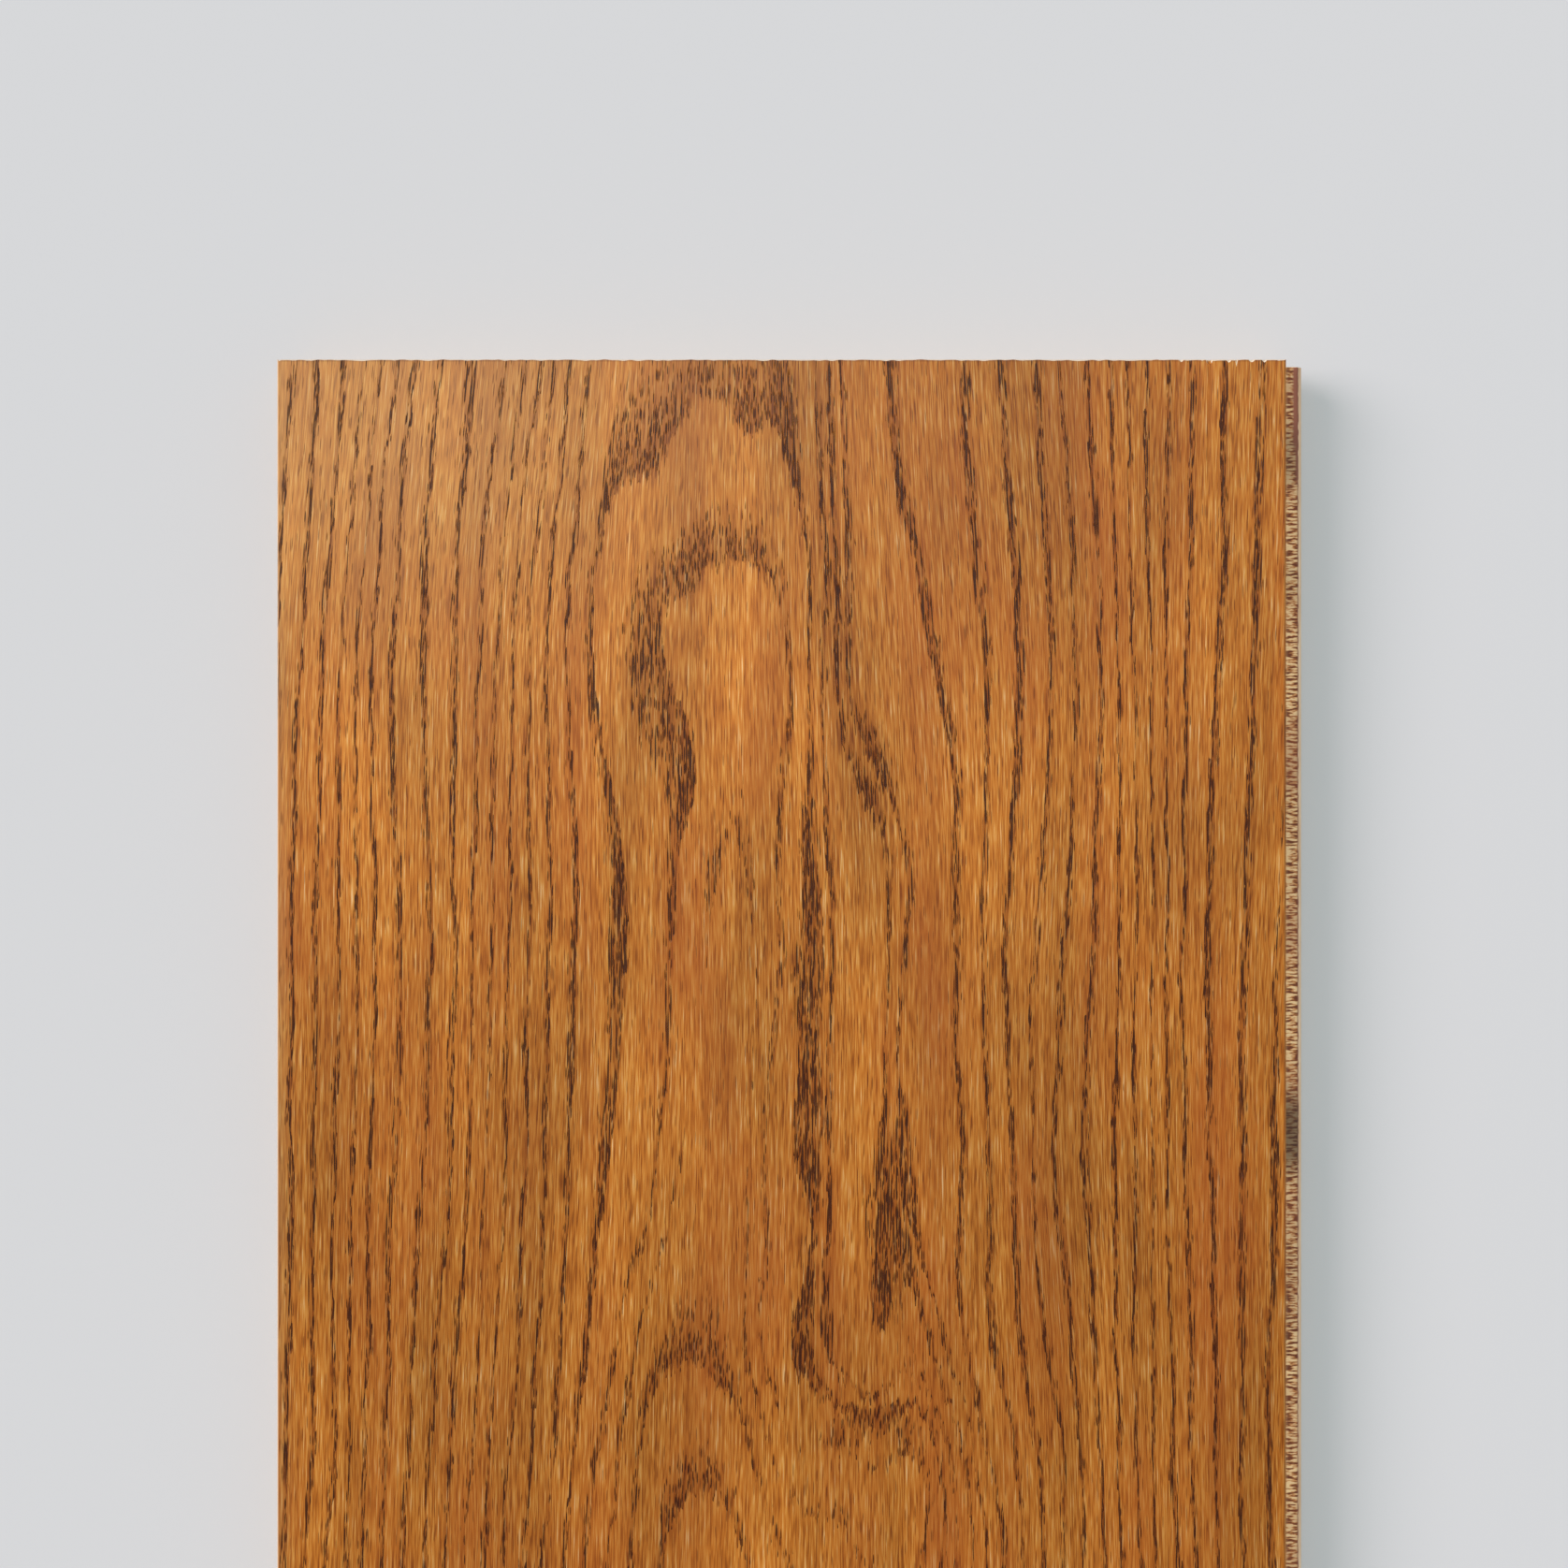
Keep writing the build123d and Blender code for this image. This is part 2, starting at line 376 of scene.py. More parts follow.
def stray(across, along, how_much, size_across, size_along, seed):
    """Smooth noise at each place, from about -how_much to how_much, of the given size in mm."""
    return how_much * np.array(
        [noise.noise(Vector((x / size_across, y / size_along, seed))) for x, y in zip(across, along)]
    )


def log_rings(across, along, below_face):
    """Ring numbers in the log, at places in mm across, along and below the face."""
    depth, pith = (
        np.polynomial.Polynomial.fit(LOG_PLACES, course, len(LOG_PLACES) - 1)(along)
        for course in (PITH_DEPTHS, PITH_PLACES)
    )
    for height, length, start in PITH_WAVES:
        depth = depth + height * np.sin(along / length + start)
    side = across - pith + stray(across, along, *PITH_STRAYS)
    side = np.where(side > 0, side * RIGHT_SIDE_PINCH, side)
    number = np.hypot(side, depth - below_face) / RING_WIDTH - RINGS_OFF
    number += stray(across, along, *RINGS_STRAY)
    return number + sum(rings * np.sin(often * number + start) for rings, often, start in YEAR_WAVES)


def traced_share(along):
    """How much the traced rings count, from 0 to 1, against the log."""
    share = np.clip((along - BLEND_TO) / (BLEND_FROM - BLEND_TO), 0, 1)
    return share * share * (3 - 2 * share)


def ring_numbers(traced, across, along, below_face):
    """Ring numbers at places in mm across, along and below the face."""
    number = log_rings(across, along, below_face)
    near = along > BLEND_TO
    on_traced = traced.at(np.stack([across[near], along[near]], -1))
    with_depth = on_traced + number[near] - log_rings(across[near], along[near], 0)
    number[near] += traced_share(along[near]) * (with_depth - number[near])
    return number


def patch_distance(across, along, patch):
    """How far places lie from a patch's centre: across and along, in parts of its reach."""
    centre = on_face(patch[:2])
    reach = np.array(patch[2:4]) * PHOTO_MM_PER_PIXEL
    return (across - centre[0]) / reach[0], (along - centre[1]) / reach[1]


def early_wood(number, slope, across, along):
    """The early wood's share of each ring's width, and how much stain it holds."""
    flat_cut = np.clip((FLANK_SLOPE - slope) / (FLANK_SLOPE - ARCH_SLOPE), 0, 1)
    share = EARLY_SHARE_FLANK + flat_cut * (EARLY_SHARE_ARCH - EARLY_SHARE_FLANK)
    whole = np.floor(number).astype(int)
    right_side = across > PITH_PLACES[1]  # the pith beside the traced rings
    plain = np.random.default_rng(PLAIN_SEED).uniform(*PLAIN_DARKNESS, (2, PLAIN_RINGS))
    dark = plain[right_side.astype(int), np.clip(whole, 0, PLAIN_RINGS - 1)]
    for is_right, table in ((False, LEFT_FLANK_DARKNESS), (True, RIGHT_FLANK_DARKNESS)):
        for ring, value in table.items():
            here = (whole == ring) & (right_side == is_right) & (along > BLEND_TO)
            dark[here] += traced_share(along[here]) * (value - dark[here])
    for *patch, darkness, early_share in DARK_PATCHES:
        aside, away = patch_distance(across, along, patch)
        close = np.exp(-((aside**2 + away**2) ** 2))
        dark += close * (darkness - dark)
        share += close * (early_share - share)
    return share, dark


def patched(across, along, level, patches):
    """A level that some broad parts of the face change."""
    tone = np.full(len(across), level)
    for *patch, change in patches:
        aside, away = patch_distance(across, along, patch)
        tone += change * np.exp(-(aside**2) - away**2)
    return tone


def rim_tone(across, along):
    """The face's rim: up to 1 where its edge is painted paler as a highlight, and below 0 where the stain has
    gathered.
    """
    left, right = across - FACE_LEFT / MM, FACE_RIGHT / MM - across
    steps = (0, EASED_EDGE / MM, EDGE_TONE_WIDTH / MM)
    uneven = RIGHT_RIM_LEVEL + stray(across, along, *RIM_STRAYS)
    return np.interp(left, steps, LEFT_RIM) - np.interp(right, steps, RIGHT_RIM) * uneven


def carry_grain(bm):
    """Gives each vertex what the stain and the pores follow, and its place in the grain.

    The grain's own coordinates run across and along the fibres, in mm, and go on down the long sides
    as if the face were folded over them.
    """
    across, along, height = (np.array([v.co for v in bm.verts]) / MM).T
    below = FACE_HEIGHT / MM - height
    traced = traced_rings()
    number = ring_numbers(traced, across, along, below)
    slope_along = ring_numbers(traced, across, along + 1, below) - number
    slope = np.hypot(ring_numbers(traced, across + 1, along, below) - number, slope_along)
    share, dark = early_wood(number, slope, across, along)
    lean = stray(across, along, *GRAIN_STRAYS)
    near = along > BLEND_TO
    near_lean = grain_lean().at(np.stack([across[near], along[near]], -1))
    lean[near] += traced_share(along[near]) * (near_lean - lean[near])
    folded = across - lean + np.sign(across) * below
    carried = {
        "ring": number,
        "rings_per_mm": slope,
        "rings_along_mm": abs(slope_along),
        "early_share": share,
        "ring_darkness": dark,
        "rim": rim_tone(across, along),
        # the wood's broad tone, with painted light along the right edge
        "tone_and_painted_light": patched(across, along, BROAD_TONE, TONE_AND_PAINTED_LIGHT_PATCHES),
        # painted sheen and painted highlight, mixed in as a paler colour
        "painted_sheen": patched(across, along, 0.0, PAINTED_SHEEN_PATCHES),
    }
    for name, values in carried.items():
        layer = bm.verts.layers.float.new(name)
        for vert, value in zip(bm.verts, values):
            vert[layer] = value
    grain = bm.verts.layers.float_vector.new("grain")
    for vert, place in zip(bm.verts, zip(folded, along, below)):
        vert[grain] = place


def mesh_piece(name, bm, slot, *materials):
    """A finished piece at the origin that rides on the board."""
    mesh = bpy.data.meshes.new(name)
    bm.to_mesh(mesh)
    bm.free()
    piece = bpy.data.objects.new(name, mesh)
    bpy.context.scene.collection.objects.link(piece)
    for material in materials:
        mesh.materials.append(material)
    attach(piece, "root")
    return piece


def add_walls(bm, lower):
    """Walls down from a sheet's rim, closed below. lower gives the height of a wall's lower point."""
    rim = [edge for edge in bm.edges if edge.is_boundary]
    for vert in bmesh.ops.extrude_edge_only(bm, edges=rim)["geom"]:
        if isinstance(vert, bmesh.types.BMVert):
            vert.co.z = lower(vert)
    bmesh.ops.edgeloop_fill(bm, edges=[edge for edge in bm.edges if edge.is_boundary])


def spaced(start, end, pitch):
    """Evenly spaced places from start to end, about a pitch apart, without the end."""
    return np.linspace(start, end, max(1, round((end - start) / pitch)), endpoint=False)


def columns_across():
    """The columns of the face's grid, with one more at each side for the eased edge."""
    left, right = FACE_LEFT + EDGE_TONE_WIDTH, FACE_RIGHT - EDGE_TONE_WIDTH
    inner = [*spaced(left, right, COLUMN_PITCH), right]
    return [FACE_LEFT, FACE_LEFT + EASED_EDGE, *inner, FACE_RIGHT - EASED_EDGE, FACE_RIGHT]


def rows_along():
    """The rows of the face's grid, closer together where the rings are traced."""
    fine_from = SAWN_END - FINE_LENGTH
    coarse, fine = spaced(FAR_END, fine_from, COARSE_ROW_PITCH), spaced(fine_from, SAWN_END, FINE_ROW_PITCH)
    return [*coarse, *fine, SAWN_END]


def at_sawn_end(vert):
    """Whether a point lies in the plane of one of the board's two sawn ends."""
    return abs(abs(vert.co.y) - SAWN_END) < TOUCHING


def chip_depth(across):
    """How far the torn edge lies back from the visible sawn end, for a place across the face."""
    uneven = noise.noise(Vector((across / FRINGE_WAVE, FRINGE_SEED, 0)))
    depth = FRINGE * (FRINGE_MEAN + FRINGE_SWING * uneven)
    pixel = PHOTO_LEFT_EDGE + (across - FACE_LEFT) / (PHOTO_MM_PER_PIXEL * MM)
    for place, width, deep in CHIPS:
        inside = max(0.0, 1 - (abs(pixel - place) / (0.5 * width)) ** 3)
        depth = max(depth, deep * PHOTO_MM_PER_PIXEL * MM * inside)
    return max(depth, LEAST_TEAR)


def tear_sawn_ends(bm):
    """Gives the face's top edge at both sawn ends its torn fringe, and the visible one its chips."""
    for level in (FACE_HEIGHT - FRINGE_LEVEL, FACE_HEIGHT - TEAR_RUNS_OUT):
        whole = [*bm.verts, *bm.edges, *bm.faces]
        bmesh.ops.bisect_plane(bm, geom=whole, plane_co=(0, 0, level), plane_no=(0, 0, 1))
    end_edges = []
    for edge in bm.edges:
        one, other = edge.verts
        if at_sawn_end(one) and at_sawn_end(other) and abs(one.co.z - other.co.z) < TOUCHING:
            end_edges.append(edge)
    bmesh.ops.subdivide_edges(bm, edges=end_edges, cuts=END_CUTS, use_grid_fill=True)
    for vert in filter(at_sawn_end, bm.verts):
        side = math.copysign(1, vert.co.y)
        depth = chip_depth(vert.co.x) if side > 0 else min(chip_depth(-vert.co.x), FAR_END_TEAR * FRINGE)
        # Level 0 is the face, 1 is where the fringe ends, and the tear runs out further down
        level = round((FACE_HEIGHT - vert.co.z) / FRINGE_LEVEL)
        share = {0: 1.0, 1: TORN_BELOW}.get(level, 0.0)
        vert.co.y -= side * depth * share


def oak_layer(face_material, raw_material):
    """The oak layer: its face is a grid that carries the growth rings, and its sides are raw wood."""
    across, along = columns_across(), rows_along()
    bm = bmesh.new()
    bmesh.ops.create_grid(bm, x_segments=len(across) - 1, y_segments=len(along) - 1, size=0.5)
    for vert in bm.verts:
        column = round((vert.co.x + 0.5) * (len(across) - 1))
        row = round((vert.co.y + 0.5) * (len(along) - 1))
        on_edge = column in (0, len(across) - 1)
        vert.co = (across[column], along[row], FACE_HEIGHT - EASED_EDGE * on_edge)
    add_walls(bm, lambda vert: oak_low.z)
    tear_sawn_ends(bm)
    bmesh.ops.recalc_face_normals(bm, faces=bm.faces)
    for face in bm.faces:
        high = face.calc_center_median().z > FACE_HEIGHT - EASED_EDGE
        face.material_index = 0 if high and face.normal.z > FACE_TILT else 1
    carry_grain(bm)
    piece = mesh_piece("oak_face_layer", bm, "stained_oak", face_material, raw_material)
    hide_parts("oak_wear_layer")


def remains_out(across, along, flat):
    """How far out from the face a column of the remains lies, in mm. The last one goes over the nose."""
    if across > 1 - 0.5 / REMAINS_COLUMNS:
        ragged = noise.noise(Vector((NOSE_SEED, along / NOSE_RAGGED_PITCH, 0)))
        return flat + NOSE_COVERED + NOSE_RAGGED * ragged
    to_nose = across * REMAINS_COLUMNS / (REMAINS_COLUMNS - 1)
    return to_nose * (flat + REMAINS_UNDER_FACE) - REMAINS_UNDER_FACE


def tongue_remains(material):
    """Torn remains of the cross-grain ply that stay on the tongue's top, with their fibres across it."""
    start = tongue_low.y / MM + REMAINS_END_SETBACK
    length = (tongue_high.y - tongue_low.y) / MM - 2 * REMAINS_END_SETBACK
    flat = (tongue_high.x - FACE_RIGHT) / MM - TONGUE_NOSE
    rows = round(length / REMAINS_ROW_PITCH)
    bm = bmesh.new()
    bmesh.ops.create_grid(bm, x_segments=REMAINS_COLUMNS, y_segments=rows, size=0.5)
    stain, clean = (bm.verts.layers.float.new(layer) for layer in ("stain", "clean"))
    for vert in bm.verts:
        across, along = vert.co.x + 0.5, start + (vert.co.y + 0.5) * length
        out = remains_out(across, along, flat)
        down = PHOTO_SAWN_END + (SAWN_END / MM - along) / PHOTO_MM_PER_PIXEL
        wide = min(max((down - WEDGE_FROM) / (WEDGE_TO - WEDGE_FROM), 0), 1)
        torn_to = REMAINS_NARROW + wide * (REMAINS_WIDE - REMAINS_NARROW)
        vert[clean] = min(max((out - torn_to) / REMAINS_EDGE, 0), 1)
        spots = (dark * math.exp(-(((down - place) / reach) ** 4)) for place, reach, dark in REMAINS_STAINS)
        # Besides the real stains, the outer columns get painted shade along the remains' edge
        vert[stain] = max(0.0, NOSE_SHADE * (across - NOSE_SHADE_FROM), *spots)
        fibre = noise.noise(Vector((across * FIBRE_LENGTHS, along / FIBRE_PITCH, FIBRE_SEED)))
        thinned = (1 - OUTWARD_THINNING * across**3) * (1 - CLEAN_THINNING * vert[clean])
        height = REMAINS_HEIGHT * (FIBRE_MEAN + FIBRE_SWING * fibre) * thinned
        height = max(height, REMAINS_LEAST) - max(0.0, out - flat)
        vert.co = (FACE_RIGHT + out * MM, along * MM, tongue_high.z + height * MM)
    add_walls(bm, lambda vert: vert.co.z - REMAINS_WALL * MM)
    bmesh.ops.recalc_face_normals(bm, faces=bm.faces)
    mesh_piece("torn_ply_on_tongue", bm, "cross_ply", material)


def add_node(tree, kind, inputs=(), **settings):
    """Adds a node with its settings, and sets or links its inputs. A node stands for its first output."""
    made = tree.nodes.new("ShaderNode" + kind)
    for name, value in settings.items():
        setattr(made, name, value)
    for key, value in dict(inputs).items():
        if isinstance(value, bpy.types.Node):
            value = value.outputs[0]
        if isinstance(value, bpy.types.NodeSocket):
            tree.links.new(value, made.inputs[key])
        else:
            made.inputs[key].default_value = value
    return made


def new_material(name):
    """An empty material, and what adds nodes to it."""
    material = bpy.data.materials.new(name)
    material.use_nodes = True
    material.node_tree.nodes.clear()
    return material, partial(add_node, material.node_tree)


def set_stops(ramp, stops):
    """Gives a colour ramp its stops: places from 0 to 1, in order, with their hex colours."""
    elements = ramp.color_ramp.elements
    for element, (place, colour) in zip(elements, (stops[0], stops[-1])):
        element.position, element.color = place, linear(colour)
    for place, colour in stops[1:-1]:
        elements.new(place).color = linear(colour)


def in_grain(size):
    """The Mapping scale at which a pattern one unit big has a size in mm across the grain and along it."""
    return 1 / size[0], 1 / size[1], 1.0


def on_axes(sizes):
    """The same on Object coordinates, which are in metres, for a size in mm on each axis."""
    return tuple(1 / (size * MM) for size in sizes)


def stain_in_rings(node, grain):
    """The stain in the early wood, and the part of it where the rings run with the grain.

    The early wood is a band at the start of each ring, with an outline as ragged as its pores are long.
    """
    ring, rings_per_mm, rings_along_mm, share, ring_darkness = (
        node("Attribute", attribute_name=name).outputs["Fac"]
        for name in ("ring", "rings_per_mm", "rings_along_mm", "early_share", "ring_darkness")
    )
    place = node("Mapping", {"Vector": grain, "Scale": in_grain(RAGGED_EDGE)})
    ragged = node("TexNoise", {"Vector": place, "Scale": 1.0, "Detail": 1.0}, noise_dimensions="2D")
    ragged_by = node("Math", {0: rings_per_mm, 1: RAGGED_ACROSS}, operation="MULTIPLY")
    ragged_by = node("Math", {0: rings_along_mm, 1: RAGGED_ALONG, 2: ragged_by}, operation="MULTIPLY_ADD")
    place = node("Mapping", {"Vector": grain, "Scale": in_grain(WAVY_EDGE)})
    wavy = node("TexNoise", {"Vector": place, "Scale": 1.0, "Detail": 1.0}, noise_dimensions="2D")
    wavy_by = node("Math", {0: rings_per_mm, 1: WAVY_ACROSS}, operation="MULTIPLY")
    for outline, amount in ((ragged, ragged_by), (wavy, wavy_by)):
        centred = node("Math", {0: outline, 1: 0.5}, operation="SUBTRACT")
        ring = node("Math", {0: centred, 1: amount, 2: ring}, operation="MULTIPLY_ADD")
    into_ring = node("Math", {0: ring}, operation="FRACT")
    early = node("MapRange", {"Value": into_ring, "From Max": share, "To Min": 1.0, "To Max": 0.0},
                 interpolation_type="SMOOTHSTEP")
    place = node("Mapping", {"Vector": grain, "Scale": in_grain(PATCHY_STAIN), "Location": (4, 4, 0)})
    patchy = node("TexNoise", {"Vector": place, "Scale": 1.0, "Detail": 1.0}, noise_dimensions="2D")
    patchy = node("MapRange",
                  {"Value": patchy, "From Min": 0.32, "From Max": 0.52, "To Min": 0.7, "To Max": 1.2})
    dark = node("Math", {0: ring_darkness, 1: patchy}, operation="MULTIPLY")
    stain = node("Math", {0: early, 1: dark}, operation="MULTIPLY")
    crossing = node("Math", {0: rings_along_mm, 1: rings_per_mm}, operation="DIVIDE")
    with_grain = node("MapRange",
                      {"Value": crossing, "From Min": 0.2, "From Max": 0.6, "To Min": 1.0, "To Max": 0.05})
    return stain, node("Math", {0: stain, 1: with_grain}, operation="MULTIPLY")


def pores(node, grain, size, shift, stain, in_stain, anywhere):
    """Dashes of a size in mm, some of which are open: a share of them that grows with the stain."""
    place = node("Mapping", {"Vector": grain, "Scale": in_grain(size), "Location": (shift, shift, 0)})
    dash = node("TexVoronoi", {"Vector": place, "Scale": 1.0}, voronoi_dimensions="2D")
    chance = node("SeparateXYZ", {0: dash.outputs["Color"]})
    varies = chance.outputs[1]
    edge = node("Math", {0: varies, 1: PORE_EDGE_VARIES, 2: PORE_EDGE}, operation="MULTIPLY_ADD")
    distance = dash.outputs["Distance"]
    shape = node("MapRange",
                 {"Value": distance, "From Min": PORE_HEART, "From Max": edge, "To Min": 1.0, "To Max": 0.0},
                 interpolation_type="SMOOTHSTEP")
    likely = node("Math", {0: stain, 1: in_stain, 2: anywhere}, operation="MULTIPLY_ADD")
    less_likely = node("Math", {0: likely, 1: HALF_OPEN}, operation="SUBTRACT")
    is_open = node("MapRange", {"Value": chance, "From Min": less_likely, "From Max": likely,
                                "To Min": 1.0, "To Max": 0.0})
    return node("Math", {0: shape, 1: is_open}, operation="MULTIPLY")


def late_wood(node, grain):
    """The late wood's colour and its streaks: golden, with broad patches of red and of a deeper tone."""
    place = node("Mapping", {"Vector": grain, "Scale": in_grain(STREAKS)})
    fibre = node("TexNoise", {"Vector": place, "Scale": 1.0, "Detail": 2.0, "Roughness": 0.55},
                 noise_dimensions="2D")
    place = node("Mapping", {"Vector": grain, "Scale": in_grain(FINE_STREAKS), "Location": (2, 2, 0)})
    fine = node("TexNoise", {"Vector": place, "Scale": 1.0, "Detail": 2.0}, noise_dimensions="2D")
    streaks = node("Mix", {0: FINE_SHARE, 2: fibre, 3: fine}, data_type="FLOAT")
    golden = node("ValToRGB", {"Fac": streaks})
    set_stops(golden, ((0.32, "#84420C"), (0.5, "#BE7124"), (0.63, "#D39444"), (0.78, "#EECB98")))
    place = node("Mapping", {"Vector": grain, "Scale": in_grain(BROAD_STREAKS)})
    tone = node("TexNoise", {"Vector": place, "Scale": 1.0, "Detail": 2.0}, noise_dimensions="2D")
    broad = node("MapRange",
                 {"Value": tone, "From Min": 0.3, "From Max": 0.7, "To Min": 0.82, "To Max": 1.14})
    tone_and_painted_light = node("Attribute", attribute_name="tone_and_painted_light").outputs["Fac"]
    broad = node("Math", {0: broad, 1: tone_and_painted_light}, operation="MULTIPLY")
    colour = node("VectorMath", {0: golden, "Scale": broad}, operation="SCALE")
    red = node("MapRange", {"Value": tone.outputs["Color"], "From Min": 0.45, "From Max": 0.7, "To Max": 0.5})
    return node("Mix", {0: red, 6: colour, 7: linear("#9A4C1C")}, data_type="RGBA").outputs[2], fibre


def stained_lacquered_oak():
    """Flat-sawn oak, brushed, stained golden brown and sealed with a satin lacquer.

    The stain gathers in the open pores of each ring's early wood, so the rings show as rows of dark
    dashes along the grain, sharp on the side of the pith and fading on the other. The late wood
    between them is golden, with fine streaks.
    """
    material, node = new_material("stained_lacquered_oak")
    grain = node("Attribute", attribute_name="grain").outputs["Vector"]
    rim, painted_sheen = (node("Attribute", attribute_name=name).outputs["Fac"] for name in ("rim", "painted_sheen"))
    stain, stain_with_grain = stain_in_rings(node, grain)

    # Open pores: long ones where the rings run with the grain, short ones where they cross it
    long_pores = pores(node, grain, LONG_PORES, 1, stain_with_grain, *LONG_OPEN)
    short_pores = pores(node, grain, SHORT_PORES, 6, stain, *SHORT_OPEN)
    open_pore = node("Math", {0: long_pores, 1: short_pores}, operation="MAXIMUM")
    hairline = pores(node, grain, HAIRLINE_PORES, 11, stain, *HAIRLINE_OPEN)

    colour, fibre = late_wood(node, grain)
    stained = node("MapRange", {"Value": stain, "From Max": 1.1, "To Max": 0.58})
    hair = node("Math", {0: hairline, 1: 0.7}, operation="MULTIPLY")
    deep = node("Math", {0: open_pore, 1: 0.95}, operation="MULTIPLY")
    # A painted highlight on the left eased edge, where the rim is above 0
    rim_highlight = node("Math", {0: rim, 1: 0.0}, operation="MAXIMUM")
    dark_rim = node("Math", {0: rim, 1: -0.75}, operation="MULTIPLY", use_clamp=True)
    along = node("SeparateXYZ", {0: grain}).outputs[1]
    from_middle = node("Math", {0: along}, operation="ABSOLUTE")
    end_from, end_to = SAWN_END / MM - DARK_END_FROM, SAWN_END / MM - DARK_END_TO
    dark_end = node("MapRange",
                    {"Value": from_middle, "From Min": end_from, "From Max": end_to, "To Max": 0.4})
    dark_rim = node("Math", {0: dark_rim, 1: dark_end}, operation="MAXIMUM")
    for amount, tint in (
        # The first tint is painted sheen and highlight, and the last is a painted highlight on the left eased
        # edge
        (painted_sheen, "#E2BE82"), (stained, "#783808"), (hair, "#541F03"), (deep, "#341002"),
        (dark_rim, "#5A2A0A"), (rim_highlight, "#E6CDB0"),
    ):
        colour = node("Mix", {0: amount, 6: colour, 7: linear(tint)}, data_type="RGBA").outputs[2]

    height = node("Math", {0: fibre, 1: 0.25, 2: 1.0}, operation="MULTIPLY_ADD")
    height = node("Math", {0: height, 1: open_pore}, operation="SUBTRACT")
    bump = node("Bump", {"Height": height, "Strength": 0.8, "Distance": PORE_DEPTH})
    lacquer = {"Roughness": 0.37, "IOR": 1.5, "Specular IOR Level": 0.14}
    shader = node("BsdfPrincipled", {"Base Color": colour, "Normal": bump, **lacquer})
    node("OutputMaterial", {"Surface": shader})
    return material


def raw_sawn_oak():
    """Raw oak as the saw and the cutters left it: pale, with open pores that are dots on the sawn ends, and a
    painted highlight near the top.
    """
    material, node = new_material("raw_sawn_oak")
    place = node("TexCoord").outputs["Object"]
    ring, share = (node("Attribute", attribute_name=name).outputs["Fac"] for name in ("ring", "early_share"))
    into_ring = node("Math", {0: ring}, operation="FRACT")
    early = node("MapRange", {"Value": into_ring, "From Max": share, "To Min": 1.0, "To Max": 0.0})
    pore_place = node("Mapping", {"Vector": place, "Scale": on_axes(RAW_OAK_PORES)})
    vessel = node("TexVoronoi", {"Vector": pore_place, "Scale": 1.0})
    distance = vessel.outputs["Distance"]
    dot = node("MapRange",
               {"Value": distance, "From Min": 0.25, "From Max": 0.4, "To Min": 1.0, "To Max": 0.0})
    likely = node("Math", {0: early, 1: 0.9, 2: 0.04}, operation="MULTIPLY_ADD")
    chance = node("SeparateXYZ", {0: vessel.outputs["Color"]})
    is_open = node("Math", {0: chance, 1: likely}, operation="LESS_THAN")
    pore = node("Math", {0: dot, 1: is_open}, operation="MULTIPLY")
    fibre_place = node("Mapping", {"Vector": place, "Scale": on_axes(RAW_OAK_FIBRES)})
    fibre = node("TexNoise", {"Vector": fibre_place, "Scale": 1.0, "Detail": 3.0})
    wood = node("ValToRGB", {"Fac": fibre})
    set_stops(wood, ((0.3, "#B98F63"), (0.7, "#E2C39B")))
    browner = node("Math", {0: early, 1: 0.3}, operation="MULTIPLY")
    height = node("SeparateXYZ", {0: place}).outputs[2]
    # A band just below the face is painted near white: a painted highlight on the torn fringe
    torn_from, torn_to = FACE_HEIGHT - 1.2 * FRINGE_LEVEL, FACE_HEIGHT - 0.6 * FRINGE_LEVEL
    painted_top_highlight = node("MapRange", {"Value": height, "From Min": torn_from, "From Max": torn_to, "To Max": 0.85})
    colour = wood
    for amount, tint in ((browner, "#A0774E"), (pore, "#6E4B2D"), (painted_top_highlight, "#FBEBD2")):
        colour = node("Mix", {0: amount, 6: colour, 7: linear(tint)}, data_type="RGBA").outputs[2]
    shader = node("BsdfPrincipled", {"Base Color": colour, "Roughness": 0.72})
    node("OutputMaterial", {"Surface": shader})
    return material


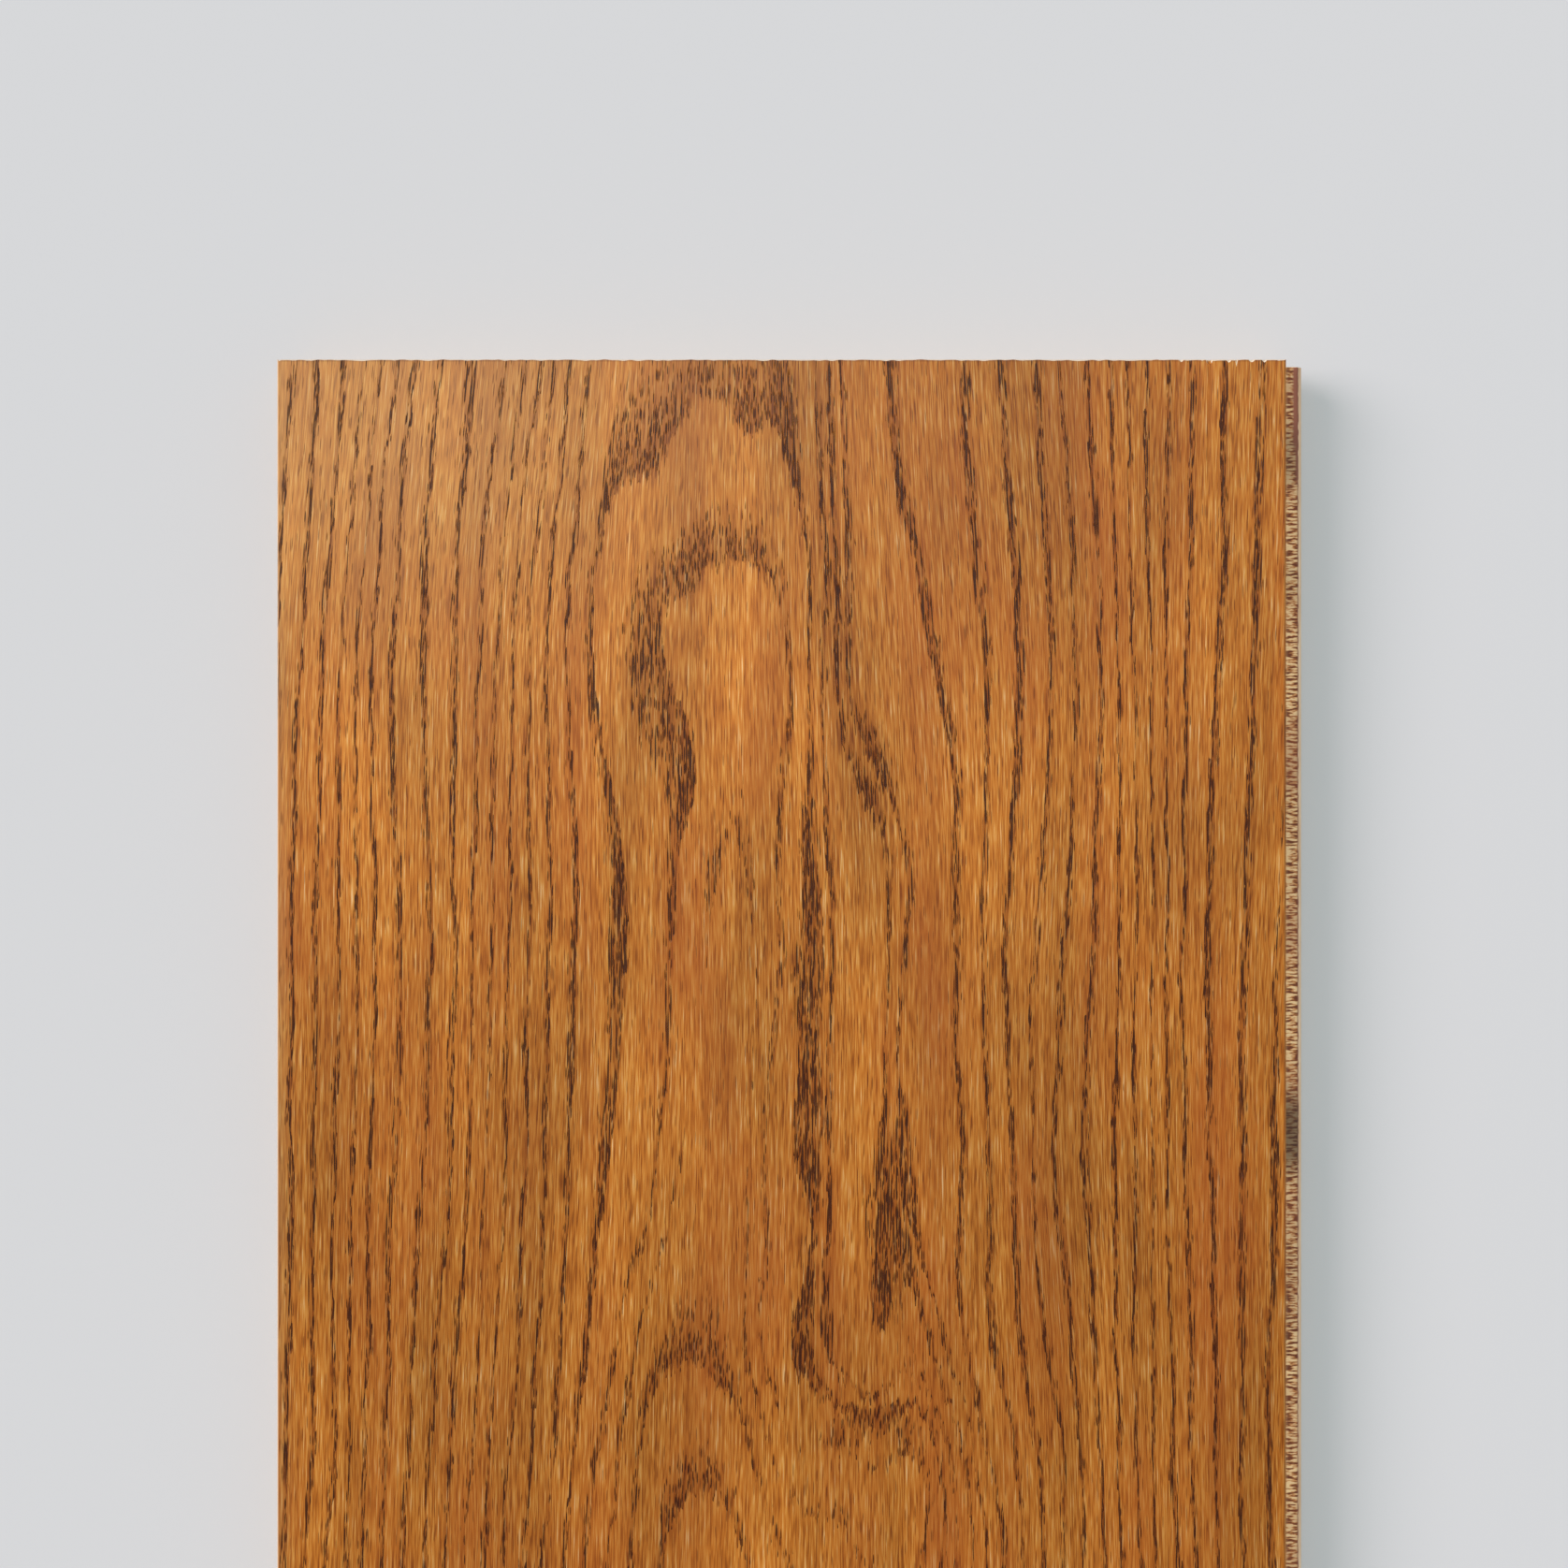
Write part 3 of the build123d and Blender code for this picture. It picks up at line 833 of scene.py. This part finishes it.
def ply_veneer(name, along_board, pale, deep):
    """A sawn and glued ply of plain light hardwood, raw: fine fibres one way, dots on the cut across them.

    Thin dark glue lines show at its top and bottom on the board's sides and ends.
    """
    material, node = new_material(name)
    place = node("TexCoord").outputs["Object"]
    fibres, figures = (
        size if along_board else (size[1], size[0], size[2]) for size in (VENEER_FIBRES, VENEER_FIGURE)
    )
    fibre_place = node("Mapping", {"Vector": place, "Scale": on_axes(fibres)})
    fibre = node("TexNoise", {"Vector": fibre_place, "Scale": 1.0, "Detail": 4.0, "Roughness": 0.65})
    wood = node("ValToRGB", {"Fac": fibre})
    set_stops(wood, ((0.32, deep), (0.64, pale)))
    figure_place = node("Mapping", {"Vector": place, "Scale": on_axes(figures)})
    figure = node("TexNoise", {"Vector": figure_place, "Scale": 1.0, "Detail": 1.0})
    contour = node("Math", {0: figure, 1: VENEER_CONTOURS}, operation="MULTIPLY")
    contour = node("Math", {0: contour}, operation="FRACT")
    soft_ring = node("MapRange", {"Value": contour, "From Max": 0.7, "To Min": 0.3, "To Max": 0.0})
    height = node("SeparateXYZ", {0: place}).outputs[2]
    level = node("Math", {0: height, 1: PLY_THICKNESS}, operation="DIVIDE")
    level = node("Math", {0: level, 1: 0.5}, operation="PINGPONG")
    from_part, to_part = GLUE_LINE
    glue = node("MapRange",
                {"Value": level, "From Min": from_part, "From Max": to_part, "To Min": 0.6, "To Max": 0.0})
    facing = node("SeparateXYZ", {0: node("NewGeometry").outputs["Normal"]}).outputs[2]
    flat = node("Math", {0: facing}, operation="ABSOLUTE")
    upright = node("Math", {0: 1.0, 1: flat}, operation="SUBTRACT", use_clamp=True)
    glue = node("Math", {0: glue, 1: upright}, operation="MULTIPLY")
    colour = wood
    for amount, tint in ((soft_ring, deep), (glue, "#5B3A22")):
        colour = node("Mix", {0: amount, 6: colour, 7: linear(tint)}, data_type="RGBA").outputs[2]
    bump = node("Bump", {"Height": fibre, "Strength": 0.35, "Distance": VENEER_ROUGHNESS})
    shader = node("BsdfPrincipled", {"Base Color": colour, "Normal": bump, "Roughness": 0.7})
    node("OutputMaterial", {"Surface": shader})
    return material


def torn_cross_ply():
    """Torn fibres of the cross-grain ply, raw: short pale and brown ticks across the tongue, some stained.
    Painted light brightens them next to the face, and painted shade darkens their outer edge.
    """
    material, node = new_material("torn_cross_grain_veneer")
    place = node("TexCoord").outputs["Object"]
    stain, clean = (node("Attribute", attribute_name=name).outputs["Fac"] for name in ("stain", "clean"))
    tick_place = node("Mapping", {"Vector": place, "Scale": on_axes(TORN_TICKS)})
    tick = node("TexNoise", {"Vector": tick_place, "Scale": 1.0, "Detail": 2.0}, noise_dimensions="2D")
    wood = node("ValToRGB", {"Fac": tick})
    set_stops(wood, ((0.4, "#703414"), (0.48, "#D08A4E"), (0.58, "#FFD8A2")))
    patch_place = node("Mapping", {"Vector": place, "Scale": on_axes(TORN_PATCHES)})
    patch = node("TexNoise", {"Vector": patch_place, "Scale": 1.0}, noise_dimensions="2D")
    warm = node("MapRange", {"Value": patch, "From Min": 0.45, "From Max": 0.7, "To Max": 0.45})
    out = node("SeparateXYZ", {0: place})
    # Painted light: next to the face the tongue's top is painted paler, against the shade under the face's
    # step
    ends = FACE_RIGHT + PAINTED_LIGHT_BY_FACE * MM
    painted_light_by_face = node("MapRange",
                   {"Value": out, "From Min": FACE_RIGHT, "From Max": ends, "To Min": 0.6, "To Max": 0.0})
    # The stain holds the real stains and the painted shade of the outer edge
    dark = node("Math", {0: stain, 1: 0.8}, operation="MULTIPLY")
    colour = wood
    for amount, tint in ((warm, "#964F30"), (clean, "#A0604A"), (painted_light_by_face, "#FFCF98"), (dark, "#40281A")):
        colour = node("Mix", {0: amount, 6: colour, 7: linear(tint)}, data_type="RGBA").outputs[2]
    shader = node("BsdfPrincipled", {"Base Color": colour, "Roughness": 0.75})
    node("OutputMaterial", {"Surface": shader})
    return material


def matt_pale_paint():
    """A floor painted matt in a pale grey: it scatters the light evenly and hardly shines."""
    material, node = new_material("matt_pale_paint")
    paint = {"Base Color": linear("#D6D7D9"), "Roughness": 0.9, "Specular IOR Level": 0.1}
    node("OutputMaterial", {"Surface": node("BsdfPrincipled", paint)})
    return material


def floor(material):
    """A plain pale floor that the board lies on."""
    bm = bmesh.new()
    bmesh.ops.create_grid(bm, x_segments=1, y_segments=1, size=FLOOR_REACH)
    mesh = bpy.data.meshes.new("pale_floor")
    bm.to_mesh(mesh)
    bm.free()
    mesh.materials.append(material)
    ground = bpy.data.objects.new("pale_floor", mesh)
    bpy.context.scene.collection.objects.link(ground)


def soft_light(name, towards, strength, spread, colour):
    """A broad soft light that comes from the direction given."""
    lamp = bpy.data.lights.new(name, "SUN")
    lamp.energy = strength
    lamp.color = linear(colour)[:3]
    lamp.angle = math.radians(spread)
    holder = bpy.data.objects.new(name, lamp)
    holder.rotation_euler = Vector(towards).to_track_quat("Z", "Y").to_euler()
    bpy.context.scene.collection.objects.link(holder)


def studio():
    """Soft light from all round, which is pale where the camera or a reflection meets it, and two lamps."""
    world = bpy.data.worlds.new("studio")
    world.use_nodes = True
    node = partial(add_node, world.node_tree)
    background = world.node_tree.nodes["Background"]
    background.inputs["Color"].default_value = (1, 1, 1, 1)
    ray = node("LightPath")
    seen = ray.outputs["Is Camera Ray"]
    for also_seen in ("Is Glossy Ray", "Is Transmission Ray"):
        seen = node("Math", {0: seen, 1: ray.outputs[also_seen]}, operation="MAXIMUM")
    strength = node("MapRange", {"Value": seen, "To Min": SKY_LIGHT, "To Max": SKY_SEEN})
    world.node_tree.links.new(strength.outputs[0], background.inputs["Strength"])
    bpy.context.scene.world = world
    soft_light("window", *WINDOW)
    soft_light("overhead", *OVERHEAD)


def photograph_camera():
    """A camera straight above the visible end, which frames what the photograph frames."""
    middle = on_face((PHOTO_SIDE / 2, PHOTO_SIDE / 2)) * MM
    view = bpy.data.cameras.new("photograph")
    view.sensor_width = SENSOR_WIDTH
    view.lens = SENSOR_WIDTH * CAMERA_ABOVE_FACE / (PHOTO_SIDE * PHOTO_MM_PER_PIXEL * MM)
    view.clip_start = CLIP_START
    camera = bpy.data.objects.new("photograph", view)
    camera.location = (middle[0], middle[1], FACE_HEIGHT + CAMERA_ABOVE_FACE)
    bpy.context.scene.collection.objects.link(camera)
    bpy.context.scene.camera = camera


bpy.context.scene.view_settings.view_transform = "Standard"
studio()
photograph_camera()
floor(matt_pale_paint())
oak_layer(stained_lacquered_oak(), raw_sawn_oak())
tongue_remains(torn_cross_ply())
cross_ply = ply_veneer("cross_grain_veneer", False, "#C3A27C", "#8A6746")
long_ply = ply_veneer("long_grain_veneer", True, "#FDDDB8", "#DCB084")
for name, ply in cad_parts.items():
    if name.startswith("ply_"):
        ply.data.materials.clear()
        ply.data.materials.append(cross_ply if "cross" in name else long_ply)
